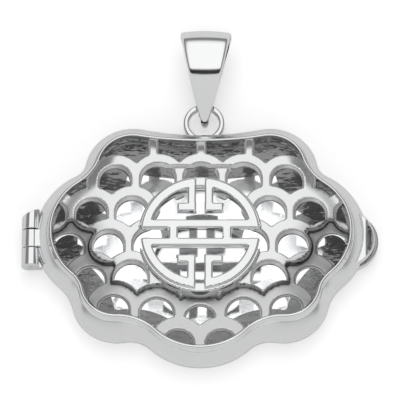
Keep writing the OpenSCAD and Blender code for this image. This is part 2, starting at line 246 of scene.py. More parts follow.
def silver(name, tone=0.86, rough=0.1, wear=1.0, ripple=0.0, swell=0.0, shaded_tone=None, light=0.0):
    """Rhodium-plated silver: a fine haze of buffing marks in two directions over a metal of
    this tone. ripple is the depth in millimetres of the longer marks that a press leaves, and
    swell that of the slow waves of a sheet that isn't quite flat. The shade share is painted
    shade: the tone falls to it where the piece's painted-shade attribute is 0. light is a
    painted glow standing for what silver passes on inside the closed locket over more
    bounces than are traced."""
    material = bpy.data.materials.new(name)
    material.use_nodes = True
    tree = material.node_tree
    surface = tree.nodes["Principled BSDF"]
    place = Wire(tree).make("ShaderNodeTexCoord", {}, {}, out="Object")

    def noise(turn, stretch, scale, detail):
        """A noise over the piece's own coordinates, turned and stretched into strokes."""
        placed = place.make("ShaderNodeMapping", {}, {
            "Vector": place, "Rotation": turn, "Scale": stretch})
        return place.make("ShaderNodeTexNoise", {}, {
            "Vector": placed, "Scale": scale, "Detail": detail, "Roughness": NOISE_ROUGH})

    def waved(waves, depth, under_it):
        """The relief of these waves, this deep in millimetres, over another relief."""
        return waves.make("ShaderNodeBump", {}, {
            "Strength": 1.0, "Distance": depth * MM, "Height": waves, "Normal": under_it,
        }, out="Normal")

    marks, cross, haze = noise(*MARKS), noise(*CROSS), noise(*HAZE)
    buffing = (marks + cross) * 0.5
    shade = (haze - 0.5) * HAZE_SWING + tone
    # Painted shade: the tone darkens where the piece's painted-shade attribute is low.
    if shaded_tone is not None:
        unshaded_share = place.make("ShaderNodeAttribute", {"attribute_name": "unshaded_share"}, {}, out="Fac")
        shade = shade * (shaded_tone + (1 - shaded_tone) * unshaded_share)
    colour = shade.make("ShaderNodeCombineColor", {}, {
        "Red": shade, "Green": shade * COOL_GREEN, "Blue": shade * COOL_BLUE})
    tree.links.new(colour.socket, surface.inputs["Base Color"])
    surface.inputs["Metallic"].default_value = 1
    # light is painted glow: the surface emits though it is no lamp.
    surface.inputs["Emission Color"].default_value = (1, 1, 1, 1)
    surface.inputs["Emission Strength"].default_value = light
    rough_wire = (haze - 0.5) * HAZE_SWING + (buffing - 0.5) * (BUFF_SWING * wear) + rough
    tree.links.new(rough_wire.socket, surface.inputs["Roughness"])
    bump = buffing * (MARK_BUMP * wear) + haze * HAZE_BUMP
    relief = bump.make("ShaderNodeBump", {}, {
        "Strength": BUMP_STRENGTH, "Distance": BUMP_DEPTH * MM, "Height": bump}, out="Normal")
    if ripple:
        relief = waved(noise(*RIPPLES) + noise(*FINE_RIPPLES) * FINE_SHARE, ripple, relief)
    if swell:
        relief = waved(noise(*SWELLS), swell, relief)
    tree.links.new(relief.socket, surface.inputs["Normal"])
    return material


def flank(count):
    """Stations up the outside from the widest line to the lip's foot, a quadratic curve: the
    share in grows with t^2, and the height with 2 t (1 - t) of the bend's height and t^2."""
    t = np.linspace(0, 1, count)
    low = PART_Z + PART_GAP / 2
    rise = SHOULDER_Z - low
    return SHOULDER_SHARE * t**2, low + rise * (2 * t * (1 - t) * FLANK_BEND + t**2)


def quarter(count, start, end):
    """The angles of a rounded edge in radians, evenly from start to end in degrees."""
    return np.linspace(math.radians(start), math.radians(end), count)


def band_kinds(stations, turn_in, columns, caps=0):
    """Material numbers of a loft's faces: 0 outside, and 1 from station turn_in on."""
    bands = (np.arange(stations) >= turn_in).astype(int)
    return np.concatenate([np.repeat(bands, columns), np.repeat(np.arange(caps), columns)])


# The inside's tone is painted dark for the shade within the closed locket, and it has a faint
# painted glow for light bounced in.
INSIDE_LIGHT = 0.03
outside = silver("soft_polished_silver", rough=0.2)
inside_painted_shade = silver("pressed_silver_painted_shade", tone=0.21, rough=0.12, wear=0.6, ripple=0.11, light=INSIDE_LIGHT)
inner_floor = silver("inner_floor_silver", tone=0.97, rough=0.05, swell=0.05)
# Cast silver with its tone painted dark: painted shade on walls, undersides, the well's floor and
# the back tab's face under the front one.
cast_painted_shade = silver("cast_silver_painted_shade", tone=0.34, rough=0.22, ripple=0.05)
bright = silver("bright_silver", tone=0.84, rough=0.08)
EDGE_R = 0.07
FOOT_R = 0.2
POCKET_R = 3.4
POCKET_H = 0.95
FOOT_STEPS = 7
EDGE_STEPS = 5
BOWL_STEPS = 16
FLOOR_KIND = 2
share, height = flank(FLANK_STEPS)
columns = len(outline(WIDE))
under = [(1, FOOT_R * (1 - math.sin(a)), FOOT_R * (1 - math.cos(a)))
         for a in quarter(FOOT_STEPS, 0, 90)]
rise = [(s, 0, 2 * PART_Z - z) for s, z in zip(share[::-1], height[::-1])]
seam = [(0, EDGE_R * (1 - math.cos(a)), PART_Z - PART_GAP / 2 - EDGE_R * (1 - math.sin(a)))
        for a in quarter(EDGE_STEPS, 0, 90)]
bowl = [(0, WALL + POCKET_R * (1 - math.cos(a)), FLOOR_T + POCKET_H * (1 - math.sin(a)))
        for a in quarter(BOWL_STEPS, 0, 90)]
outer = under + rise[:-1] + seam
stations = outer + [(0, WALL, PART_Z - PART_GAP / 2)] + bowl
points, faces = loft(stations, cap_ends=True)
kinds = band_kinds(len(stations) - 1, len(outer), columns, caps=2)
kinds[-columns:] = FLOOR_KIND
make_piece("back_shell", points, faces, "case", [outside, inside_painted_shade, inner_floor], "back_case", kinds)

# The front half's rim: the same dish turned up, with a thin raised lip that holds the panel and
# a narrow ledge inside for it to sit on. It is cast and polished bright.
LIP_W = 0.24
LIP_EDGE = 0.03
LIP_CHAMFER = 0.1
CHAMFER_SLOPE = 0.38
LIP_INNER = 0.05
GROOVE_SHARE = 0.07
GROOVE_H = 0.05
SEAT_Z = 3.29
LEDGE_W = 0.25
LEDGE_T = 0.2
LEDGE_IN = 0.15
LEDGE_FOOT = 0.55
LIP_STEPS = 4
LIP_KIND = 2
lip_top = LIP_Z - CHAMFER_SLOPE * LIP_CHAMFER
lip_edge = [(1, LIP_EDGE * (1 - math.cos(a)), lip_top - LIP_EDGE * (1 - math.sin(a)))
            for a in quarter(LIP_STEPS, 0, 90)]
lip_inner = [(1, LIP_W - LIP_INNER * (1 - math.cos(a)), LIP_Z - LIP_INNER * (1 - math.sin(a)))
             for a in quarter(EDGE_STEPS, 90, 0)]
low_edge = [(0, EDGE_R * (1 - math.sin(a)), PART_Z + PART_GAP / 2 + EDGE_R * (1 - math.cos(a)))
            for a in quarter(EDGE_STEPS, 0, 90)]
groove = [(SHOULDER_SHARE + GROOVE_SHARE / 2, 0, SHOULDER_Z - GROOVE_H),
          (SHOULDER_SHARE + GROOVE_SHARE, 0, SHOULDER_Z + GROOVE_H)]
outer = low_edge + list(zip(share[1:], np.zeros(len(share) - 1), height[1:])) + groove
wall_start = len(outer) - 1
outer = outer + lip_edge + [(1, LIP_CHAMFER, LIP_Z)] + lip_inner
stations = (
    outer
    + [(1, LIP_W, SEAT_Z), (1, LIP_W + LEDGE_W, SEAT_Z), (1, LIP_W + LEDGE_W, SEAT_Z - LEDGE_T)]
    + [(0, WALL + LEDGE_IN, PART_Z + LEDGE_FOOT), (0, WALL, PART_Z + PART_GAP / 2)]
)
points, faces = loft(stations)
kinds = band_kinds(len(stations), len(outer), columns)
kinds[wall_start * columns:len(outer) * columns] = LIP_KIND
make_piece("front_rim_shell", points, faces, "cover", [outside, inside_painted_shade, bright], "front_rim", kinds)

# The pierced panel: cast silver, domed, a net of overlapping rings in rows with openings
# between them. The rings round its bottom and sides lie lower, as a satin brim, and its edge
# comes down to the lip that it is set in.
PANEL_GAP = 0.06
PANEL_T = 1.1
PANEL_DRAFT = 0.12
RING_R = 2.8
ROW_1 = 6.74
ROW_PITCH = 3.57
CROWN_Z = 5.45
DOME_R = 85
ROLL_W = 2.0
EDGE_Z = 4.15
BRIM_UNDER = 3.35
BRIM_THIN = 0.4
SEAT_W = 0.3
LOW_R = 2.7
LOW_FOOT_R = 6.15
LOW_BAND = 0.12
LAP_R = 2.05
FOLD_STEEP = 0.12
FOLD_ROUND = 0.4
FOLD_TURN = 0.85
FOLD_FILLET = 0.1
EDGE_FILLET = 0.05
SIDE_FROM = 7.5
SIDE_OVER = 2.5
BRIM_SIDE_X = 10
BRIM_SIDE_R = 26
CHAR_Y = 0.15
PLATEAU_R = 6.55
UNDER_LIT_R = 12.5
UNDER_FADE = 4
UNDER_LIGHT = 0.4
WALL_LIGHT = 0.16
EYE_R = 5.2
SKIRT = 3.6
STRUT_W = 0.86
STRUTS = [-4.83, 0, 4.83]
ROW_REACH = 5
FILLET = 0.22
MIDDLE = (-8, 8, -4.2, 8.2)


def row(k):
    """The y of a row of rings, counted from the top: ROW_PITCH further down for each row."""
    return ROW_1 - (k - 1) * ROW_PITCH


# Columns: centre x, centre y, radius of the hole (0 where the lip leaves no room for one), and
# 1 on the dome, 0 on the brim or 2 on the brim where the dome's rings lap over it. Each stands
# at x and at -x.
RINGS = [
    [0, row(1), 1.75, 1],
    [4.33, row(1), 1.77, 1],
    [8.66, row(1), 1.62, 1],
    [6.95, row(2), 1.62, 1],
    [11, row(2), 1.6, 1],
    [15.1, row(2), 1.6, 1],
    [5, row(3), 1.8, 1],
    [9.25, row(3), 1.6, 1],
    [13.2, row(3), 1.55, 2],
    [2.165, row(4), 1.75, 1],
    [6.95, row(4), 1.78, 1],
    [11, row(4), 1.55, 2],
    [0, row(5) - 0.6, 1.55, 0],
    [4.33, row(5), 1.75, 0],
    [8.65, row(5) + 0.4, 1.62, 0],
    [2.165, row(6) + 0.3, 1.6, 0],
    [6.5, row(6), 0, 0],
]
both = [[side * x, y, r, level] for x, y, r, level in RINGS for side in ((-1, 1) if x else (1,))]


def disc(p, x, y, r):
    """Signed distance to a circle: |p - c| - r, negative inside."""
    return np.hypot(p[:, 0] - x, p[:, 1] - y) - r


def block(p, x0, x1, y0, y1):
    """Signed distance to a rectangle: the outside part and the inside part of |p - c| - half."""
    dx = np.abs(p[:, 0] - (x0 + x1) / 2) - (x1 - x0) / 2
    dy = np.abs(p[:, 1] - (y0 + y1) / 2) - (y1 - y0) / 2
    return np.hypot(np.maximum(dx, 0), np.maximum(dy, 0)) + np.minimum(np.maximum(dx, dy), 0)


def both_of(a, b, k=FILLET):
    """Distance to what two regions share, max(a, b), rounded by a fillet of size k."""
    h = np.maximum(k - np.abs(a - b), 0)
    return np.maximum(a, b) + h * h / (4 * k)


def either_of(a, b, k=FILLET):
    """Distance to what either region covers, min(a, b), rounded by a fillet of size k."""
    return -both_of(-a, -b, k)


def within_lip(p):
    """Signed distance to the lip's edge: to a hollow's circle inside the triangle between its
    centre and its two lobes', and to the nearest lobe or the middle block elsewhere."""
    count = len(LIP)
    d = np.min([disc(p, *lobe[:3]) for lobe in LIP] + [block(p, *MIDDLE)], axis=0)
    for i in range(count):
        a, b = np.array(LIP[i][:2]), np.array(LIP[(i + 1) % count][:2])
        h = hollow_centre(LIP[i], LIP[(i + 1) % count])
        q = p - h
        from_a = (a - h)[0] * q[:, 1] - (a - h)[1] * q[:, 0]
        from_b = (b - h)[0] * q[:, 1] - (b - h)[1] * q[:, 0]
        over = (b - a)[0] * (p - a)[:, 1] - (b - a)[1] * (p - a)[:, 0]
        wedge = (from_a <= 0) & (from_b >= 0) & (over < 0)
        d = np.where(wedge, LIP[i][3] - np.hypot(q[:, 0], q[:, 1]), d)
    return d


def opening(p, x, y, r):
    """Distance to one opening: a round head and a skirt as wide, less the rings below it, and
    a narrow band of the dome round those that lie low."""
    d = np.minimum(disc(p, x, y, r), block(p, x - r, x + r, y - SKIRT, y))
    for cx, cy, _, level in both:
        if y - ROW_REACH < cy < y - ROW_PITCH / 2 and abs(cx - x) < ROW_REACH:
            d = both_of(d, -disc(p, cx, cy, RING_R + LOW_BAND * (level != 1)))
    return d


def net(p):
    """Distance to the net in plan: its rings, struts and middle plateau joined and kept within
    the lip, less every opening and the open eye under the character."""
    d = disc(p, 0, CHAR_Y, PLATEAU_R)
    for x, y, _, _ in both:
        d = either_of(d, disc(p, x, y, RING_R))
    for x in STRUTS:
        d = either_of(d, block(p, x - STRUT_W / 2, x + STRUT_W / 2, ROW_1, ROW_1 + 2 * RING_R))
    d = both_of(d, within_lip(p) + LIP_W + PANEL_GAP, EDGE_FILLET)
    for x, y, r, _ in both:
        if r:
            d = both_of(d, -opening(p, x, y, r))
    return both_of(d, -disc(p, 0, CHAR_Y, EYE_R))


def low_rings(p):
    """Signed distance to the low brim in plan: its rings, less what the dome's rings lap over at
    the sides and what the collar's foot covers."""
    front, laps, side = [
        np.min([disc(p, x, y, r) for x, y, _, level in both if level == number], axis=0)
        for number, r in ((0, LOW_R), (1, LAP_R), (2, LOW_R))
    ]
    rings = np.minimum(front, both_of(side, -laps, FOLD_FILLET))
    return both_of(rings, -disc(p, 0, CHAR_Y, LOW_FOOT_R), FOLD_FILLET)


def fold_top(p):
    """Zero where the fold down to the brim begins to turn."""
    return low_rings(p) - FOLD_TURN * FOLD_STEEP


def sideways(p):
    """0 in the middle of the panel and 1 toward its sides."""
    return np.clip((np.abs(p[:, 0]) - SIDE_FROM) / SIDE_OVER, 0, 1)


def smooth(share):
    """3 s^2 - 2 s^3 of a share kept to 0 to 1."""
    share = np.clip(share, 0, 1)
    return share * share * (3 - 2 * share)


# Painted shade on the panel's face, carried as a point attribute: darker at the foot of the fold
# down to the brim and, at the sides, a little out from it and over the side rings of the brim.
CREASE_W = 0.09
CREASE_SIDE_W = 0.43
CREASE_OUT = 0.08
DIM_REACH = 2
DIM_DEPTH = 0.5
BRIM_DIM = 0.55
BRIM_CREASE = 0.3
BRIM_REACH = 0.9
FOLD_FOOT = 0.01
CHUNK = 8000


def painted_shading(p):
    """How far each point of the face is spared the painted shade: not at the foot of the fold
    and, at the sides, a little out from it, and less on the side rings, least where they meet
    the fold."""
    to_fold = low_rings(p)
    far = sideways(p)
    dome = smooth((to_fold - CREASE_OUT * far) / (CREASE_W + CREASE_SIDE_W * far))
    dome = dome * (1 - DIM_DEPTH * far * (1 - smooth(to_fold / DIM_REACH)))
    brim = 1 - far * (BRIM_DIM + BRIM_CREASE * (1 - smooth(-to_fold / BRIM_REACH)))
    return np.where(to_fold > -FOLD_FOOT, dome, brim)


def lip_depth(p):
    """How far a point stands inside the lip: its least distance to the outline's points."""
    edge = outline(LIP)
    parts = np.array_split(p, 1 + len(p) // CHUNK)
    return np.concatenate([np.sqrt(((q[:, None] - edge) ** 2).sum(2).min(1)) for q in parts])


def panel_top(p):
    """Height of the panel's face: the dome CROWN_Z - |p|^2 / 2R, eased down to EDGE_Z near the
    lip by (1 - share)^2, and folded down to the brim over a quarter of an ellipse,
    sqrt(1 - (1 - s)^2), steep under the collar and round at the sides."""
    share = np.clip(lip_depth(p) / ROLL_W, 0, 1)
    dome = CROWN_Z - (p**2).sum(1) / (2 * DOME_R)
    dome = dome - (dome - EDGE_Z) * (1 - share) ** 2
    brim = EDGE_Z - np.maximum(np.abs(p[:, 0]) - BRIM_SIDE_X, 0) ** 2 / (2 * BRIM_SIDE_R)
    brim = np.minimum(brim, dome)
    s = np.clip(low_rings(p) / (FOLD_STEEP + (FOLD_ROUND - FOLD_STEEP) * sideways(p)), 0, 1)
    return brim + (dome - brim) * np.sqrt(1 - (1 - s) ** 2)


def panel_under(p):
    """The panel's underside follows its face, PANEL_T below the dome, and thins out under the
    brim but for its seat on the ledge."""
    seat = 1 - smooth((lip_depth(p) - SEAT_W) / SEAT_W)
    return np.maximum(panel_top(p) - PANEL_T, BRIM_UNDER + BRIM_THIN * (1 - seat))


SNAP_PASSES = 2
CUT_TRIES = 12
CUT_MARGIN = 0.02
SNAP_NEAR = 0.12
SNAP_TO = 0.16
EDGE_CUTS = (0.134, 0.5, 1)


def split(points, triangles, field, level):
    """Cuts every triangle that crosses field = level into one and two. The cut points lie on
    the level, found on each edge by false position. Returns points, triangles."""
    value = field(points) - level
    above = value > 0
    kinds = above[triangles].sum(1)
    mixed = (kinds == 1) | (kinds == 2)
    kept, cut = triangles[~mixed], triangles[mixed]
    if not len(cut):
        return points, triangles
    signs = above[cut]
    lone = np.where(signs.sum(1) == 1, signs.argmax(1), (~signs).argmax(1))
    turn = (lone[:, None] + np.arange(3)) % 3
    cut = np.take_along_axis(cut, turn, 1)
    pairs = np.sort(np.concatenate([cut[:, [0, 1]], cut[:, [0, 2]]]), 1)
    unique, place = np.unique(pairs, axis=0, return_inverse=True)
    place = place.reshape(-1)
    a, b = points[unique[:, 0]], points[unique[:, 1]]
    ta, tb = np.zeros(len(a)), np.ones(len(a))
    va, vb = value[unique[:, 0]], value[unique[:, 1]]
    for _ in range(CUT_TRIES):
        margin = CUT_MARGIN * (tb - ta)
        t = np.clip(ta + (tb - ta) * va / (va - vb), ta + margin, tb - margin)
        v = field(a + (b - a) * t[:, None]) - level
        same = (v > 0) == (va > 0)
        ta, va = np.where(same, t, ta), np.where(same, v, va)
        tb, vb = np.where(same, tb, t), np.where(same, vb, v)
    t = np.where(np.abs(va) < np.abs(vb), ta, tb)
    fresh = a + (b - a) * t[:, None]
    e1 = len(points) + place[:len(cut)]
    e2 = len(points) + place[len(cut):]
    parts = [
        np.stack([cut[:, 0], e1, e2], 1),
        np.stack([e1, cut[:, 1], cut[:, 2]], 1),
        np.stack([e1, cut[:, 2], e2], 1),
    ]
    return np.vstack([points, fresh]), np.concatenate([kept] + parts)


def plate(field, top, under, low, high, step, edge, draft=0.0, seams=(), wall_share=1.0,
          chamfer=0.0, wall_kind=0):
    """A pierced plate: a grid over the box low to high is cut to field < 0 and along the seams,
    lifted to top less edge - sqrt(edge^2 - (edge - s)^2) at a distance s inside the outline and
    less CHAMFER_SLOPE of what s is short of edge + chamfer, and walled down to under, where the
    openings are narrower by the draft. Face kinds: 0 the face, wall_kind the wall's upper
    share, 1 the rest of the wall, 2 the underside."""
    nx = math.ceil((high[0] - low[0]) / step)
    ny = math.ceil((high[1] - low[1]) / step)
    x, y = np.meshgrid(np.linspace(low[0], high[0], nx + 1), np.linspace(low[1], high[1], ny + 1))
    x[1::2] += 0.5 * step
    points = np.stack([x.ravel(), y.ravel()], 1)
    grid = quads(ny + 1, nx + 1, False, False)
    odd = ((grid[:, 0] // (nx + 1)) % 2 == 1)[:, None]
    one = np.where(odd, grid[:, [0, 1, 3]], grid[:, [0, 1, 2]])
    two = np.where(odd, grid[:, [1, 2, 3]], grid[:, [0, 2, 3]])
    triangles = np.concatenate([one, two])
    value = field(points)
    for _ in range(SNAP_PASSES):
        near = np.abs(value) < SNAP_NEAR * step
        target = np.where(value[near] > 0, SNAP_TO * step, -SNAP_TO * step)
        points[near] += slope(field, points[near]) * (target - value[near])[:, None]
        value = field(points)
    points, triangles = split(points, triangles, field, 0)
    triangles = triangles[field(points[triangles].mean(1)) < 0]
    for crease in seams:
        points, triangles = split(points, triangles, crease, 0)
    used, triangles = np.unique(triangles, return_inverse=True)
    points, triangles = points[used], triangles.reshape(-1, 3)
    base = points.copy()
    floor_faces = triangles[:, ::-1]
    edges = np.concatenate([triangles[:, [0, 1]], triangles[:, [1, 2]], triangles[:, [2, 0]]])
    _, place, count = np.unique(np.sort(edges, 1), axis=0, return_inverse=True, return_counts=True)
    rim = edges[count[place.reshape(-1)] == 1]
    around = np.unique(rim)
    insets = [share * edge for share in EDGE_CUTS] + [edge + chamfer] * (chamfer > 0)
    for inset in insets:
        points, triangles = split(points, triangles, field, -inset)
    inset = np.clip(-field(points), 0, edge)
    inset[around] = 0
    slanted = np.clip(edge + chamfer + np.minimum(field(points), 0), 0, edge + chamfer)
    drop = edge - np.sqrt(edge**2 - (edge - inset)**2) + CHAMFER_SLOPE * slanted * (chamfer > 0)
    upper = np.column_stack([points, top(points) - drop])
    low_z = under(base)
    out = slope(field, base[around])
    base[around] += out * draft
    lower = np.column_stack([base, low_z])
    between = upper[around] + (lower[around] - upper[around]) * wall_share
    n, rings = len(upper), len(upper) + len(lower)
    middle = np.zeros(n, int)
    middle[around] = rings + np.arange(len(around))
    walls_up = np.stack([rim[:, 1], rim[:, 0], middle[rim[:, 0]], middle[rim[:, 1]]], 1)
    walls_low = np.stack([middle[rim[:, 1]], middle[rim[:, 0]], n + rim[:, 0], n + rim[:, 1]], 1)
    if wall_share == 1:
        walls_up = np.stack([rim[:, 1], rim[:, 0], n + rim[:, 0], n + rim[:, 1]], 1)
        walls_low = walls_low[:0]
        between = between[:0]
    solid = np.vstack([upper, lower, between])
    parts = [triangles, floor_faces + n, walls_up, walls_low]
    kinds = np.repeat([0, 2, wall_kind, 1], [len(part) for part in parts])
    return solid, [face for part in parts for face in part.tolist()], kinds


def slope(field, p, nudge=1e-3):
    """Gradient of a distance field by a small step in x and in y, at most 1 long."""
    here = field(p)
    found = np.stack([field(p + [nudge, 0]) - here, field(p + [0, nudge]) - here], 1) / nudge
    return found / np.maximum(np.linalg.norm(found, axis=1), 1)[:, None]


def level(z):
    """A flat face or underside at a height."""
    return lambda p: np.full(len(p), float(z))


def face_middles(points, faces, kinds):
    """The middle in plan of each triangle of a plate's face, which come first and are kind 0."""
    count = int((kinds == 0).argmin())
    return points[np.array(faces[:count])][:, :, :2].mean(1)


GRID = 0.17
NET_LOW = [-15.6, -12]
NET_HIGH = [15.6, 12.5]
PANEL_EDGE = 0.16
SAWN_SHARE = 0.75
SATIN_IN = 0.9
SATIN_KIND = 3
SAWN_KIND = 4
# The face's tone darkens with the panel's painted-shade attribute.
face_polish = silver("panel_silver", tone=0.79, rough=0.14, shaded_tone=0.28)
under_silver = silver("underside_silver_painted_glow", tone=0.9, rough=0.12)
# The underside glows evenly in the middle and fades out over UNDER_FADE to nothing at UNDER_LIT_R
# from it: painted light for what the openings let in.
place = Wire(under_silver.node_tree).make("ShaderNodeTexCoord", {}, {}, out="Object")
from_middle = place.make("ShaderNodeVectorMath", {"operation": "LENGTH"}, {0: place}, out="Value")
painted_glow = ((UNDER_LIT_R * MM - from_middle) / (UNDER_FADE * MM)).kept_to_one() * UNDER_LIGHT
surface = under_silver.node_tree.nodes["Principled BSDF"]
surface.inputs["Emission Strength"].default_value = 1
under_silver.node_tree.links.new(painted_glow.socket, surface.inputs["Emission Color"])
# The openings' sawn walls glow faintly: painted light.
hole_wall = silver("sawn_wall_silver_painted_glow", tone=0.85, rough=0.5, wear=1.5, light=WALL_LIGHT)
# The satin brim's tone darkens with the panel's painted-shade attribute, more deeply than the
# face's.
satin = silver("satin_brim_silver", tone=0.64, rough=0.3, wear=1.4, shaded_tone=0.2)
# The lowest quarter of each opening's wall takes the dark cast material: painted shade.
points, faces, kinds = plate(net, panel_top, panel_under, NET_LOW, NET_HIGH, GRID,
                             PANEL_EDGE, PANEL_DRAFT, [low_rings, fold_top], SAWN_SHARE,
                             wall_kind=SAWN_KIND)
middles = face_middles(points, faces, kinds)
on_brim = (low_rings(middles) < 0) & (net(middles) < -SATIN_IN * PANEL_EDGE)
kinds[:len(middles)][on_brim] = SATIN_KIND
make_piece("panel_net", points, faces, "cover",
           [face_polish, cast_painted_shade, under_silver, satin, hole_wall], "scale_panel", kinds,
           unshaded_share=painted_shading(points[:, :2]))

# The round prosperity character, cast in one with the panel: it stands on a low round collar
# that rises from the dome round an open middle. Its face is polished bright.
CHAR_R = 5.95
CHAR_RING_W = 0.95
STROKE = 0.83
SLOT_W = 0.9
CHAR_Z = 6.7
CHAR_T = 0.85
COLLAR_R = 6.2
COLLAR_Z = 6.25
COLLAR_LOW = 4.8
BAR_NEAR = 0.58
LINK_NEAR = 2.23
FOOT_NEAR = 2.38
FOOT_X = 2.3
CHAR_EDGE = 0.05
CHAR_CHAMFER = 0.1
CHAR_GRID = 0.12
COLLAR_GRID = 0.14
COLLAR_IN = 0.03
CUT_FILLET = 0.1
END_FILLET = 0.05
STROKE_FILLET = 0.12
SIDE_HOLE = [5, row(3), 1.8]
OVERLAP = 0.1
BEYOND = -1


def on_collar(p):
    """The collar in plan: a round band, open where the middle row's holes run into it."""
    band = both_of(disc(p, 0, CHAR_Y, COLLAR_R), -disc(p, 0, CHAR_Y, EYE_R + COLLAR_IN), CUT_FILLET)
    for side in (-1, 1):
        band = both_of(band, -opening(p, side * SIDE_HOLE[0], *SIDE_HOLE[1:]), CUT_FILLET)
    return band


def on_character(p):
    """The ring less its slots, with the bars, links, posts and feet, folded into one quarter."""
    q = np.abs(p - [0, CHAR_Y])
    inner = CHAR_R - CHAR_RING_W / 2
    ring = np.maximum(disc(q, 0, 0, CHAR_R), -disc(q, 0, 0, CHAR_R - CHAR_RING_W))
    ring = both_of(ring, BAR_NEAR - q[:, 1], CUT_FILLET)
    ring = both_of(ring, SLOT_W / 2 - q[:, 0], CUT_FILLET)
    bar = block(q, BEYOND, CHAR_R, BAR_NEAR, BAR_NEAR + STROKE)
    bar = both_of(bar, disc(q, 0, 0, inner), END_FILLET)
    post = block(q, SLOT_W / 2, SLOT_W / 2 + STROKE, FOOT_NEAR, CHAR_R)
    post = both_of(post, disc(q, 0, 0, inner), END_FILLET)
    link = block(q, LINK_NEAR, LINK_NEAR + SLOT_W, BEYOND, BAR_NEAR + OVERLAP)
    foot = block(q, SLOT_W / 2, FOOT_X, FOOT_NEAR, FOOT_NEAR + STROKE)
    d = ring
    for stroke in (bar, post, link, foot):
        d = either_of(d, stroke, STROKE_FILLET)
    return d


reach = ([-6.6, -6.4], [6.6, 6.8])
# The collar's and the character's walls and undersides take the dark cast material: painted shade
# under their bright faces.
points, faces, kinds = plate(on_collar, level(COLLAR_Z), level(COLLAR_LOW), *reach, COLLAR_GRID,
                             CHAR_EDGE, chamfer=CHAR_CHAMFER)
make_piece("collar", points, faces, "cover", [bright, cast_painted_shade, cast_painted_shade], "scale_panel", kinds)
points, faces, kinds = plate(on_character, level(CHAR_Z), level(CHAR_Z - CHAR_T), *reach, CHAR_GRID,
                             CHAR_EDGE, chamfer=CHAR_CHAMFER)
make_piece("character", points, faces, "cover", [bright, cast_painted_shade, cast_painted_shade], "scale_panel", kinds)

# The hinge on the left: three drawn knuckles in line, the outer two on the back half and the
# middle one on the front. Each is squared a little where its strap runs to the wall, and a
# wire pin goes through them.
HINGE = (-17.1, 1.1)
HINGE_L = 5.8
KNUCKLE_R = 0.9
KNUCKLE_GAP = 0.06
KNUCKLE_EDGE = 0.07
TOP_GAP = 0.1
SQUARENESS = 5
CORNER_R = 0.96
PIN_R = 0.28
BORE_R = 0.29
PIN_DIMPLE = 0.1
DIMPLE_FOOT = 0.08
DIMPLE_DEPTH = 0.12
PIN_EDGE = 0.02
PIN_AXIS = 0.001
WEB_W = 1.2
WEB_H = 0.77
WEB_STEP = 0.05
TOP_SLANT = 0.42
knuckle_l = HINGE_L / 3


def turned(profile, centre, count=72, squared=False, slant=0.0):
    """A surface of revolution about a line along y: the profile's (y, r) carried round at
    x = r cos a, z = r sin a. Squared, the quarter over the case is pushed out to a superellipse
    as far as CORNER_R. slant moves a point of the last half of the profile by slant x / r
    along y."""
    a = np.linspace(0, math.tau, count, endpoint=False)
    y, r = np.array(profile).T
    c, s = np.cos(a), np.sin(a)
    swell = (np.abs(c) ** SQUARENESS + np.abs(s) ** SQUARENESS) ** (-1 / SQUARENESS)
    swell = np.minimum(swell, CORNER_R / KNUCKLE_R)
    swell = np.where((c > 0) & (s > 0), swell, 1) if squared else np.ones(count)
    outer = (r > BORE_R)[:, None]
    x = r[:, None] * c * np.where(outer, swell, 1)
    z = r[:, None] * s * np.where(outer, swell, 1)
    late = (np.arange(len(y)) >= len(y) // 2)[:, None]
    along = y[:, None] + slant * late * x / KNUCKLE_R
    points = np.stack([centre[0] + x, along, centre[1] + z], 2).reshape(-1, 3)
    return points, quads(len(y), count, True, True)


def rounded_tube(y0, y1, outer, inner, edge):
    """Profile of a tube from the bore round its outside. Each outer edge is a quarter circle,
    edge (1 - cos a) along and edge (1 - sin a) in."""
    turn = [(edge * (1 - math.cos(a)), outer - edge * (1 - math.sin(a)))
            for a in quarter(EDGE_STEPS, 0, 90)]
    first = [(y0 + y, r) for y, r in turn]
    second = [(y1 - y, r) for y, r in turn[::-1]]
    return [(y0, inner)] + first + second + [(y1, inner)]


def box_faces():
    """The six faces of a box, outward."""
    return [[0, 3, 2, 1], [4, 5, 6, 7], [0, 1, 5, 4], [1, 2, 6, 5], [2, 3, 7, 6], [3, 0, 4, 7]]


def box_points(low, high):
    """The eight corners of a box, the lower four first."""
    x0, y0, z0 = low
    x1, y1, z1 = high
    return [[x0, y0, z0], [x1, y0, z0], [x1, y1, z0], [x0, y1, z0],
            [x0, y0, z1], [x1, y0, z1], [x1, y1, z1], [x0, y1, z1]]


carriers = [("case", "back_case"), ("cover", "front_rim"), ("case", "back_case")]
for index, (body, node) in enumerate(carriers):
    y0 = HINGE[1] - HINGE_L / 2 + index * knuckle_l
    gap, slant = (TOP_GAP, TOP_SLANT) if index == 2 else (KNUCKLE_GAP / 2, 0)
    high_end = y0 + knuckle_l - KNUCKLE_GAP / 2
    tube = rounded_tube(y0 + gap, high_end, KNUCKLE_R, BORE_R, KNUCKLE_EDGE)
    points, faces = turned(tube, (HINGE[0], PART_Z), squared=True, slant=slant)
    make_piece(f"knuckle_{index + 1}", points, faces, body, [bright], node)
    off = PART_GAP / 2 + WEB_STEP
    z0 = PART_Z + off if body == "cover" else PART_Z - off - WEB_H
    low = (HINGE[0] + BORE_R, y0 + KNUCKLE_GAP / 2 + WEB_STEP, z0)
    high = (HINGE[0] + WEB_W, high_end - WEB_STEP, z0 + WEB_H)
    make_piece(f"web_{index + 1}", box_points(low, high), box_faces(), body, [bright], node)

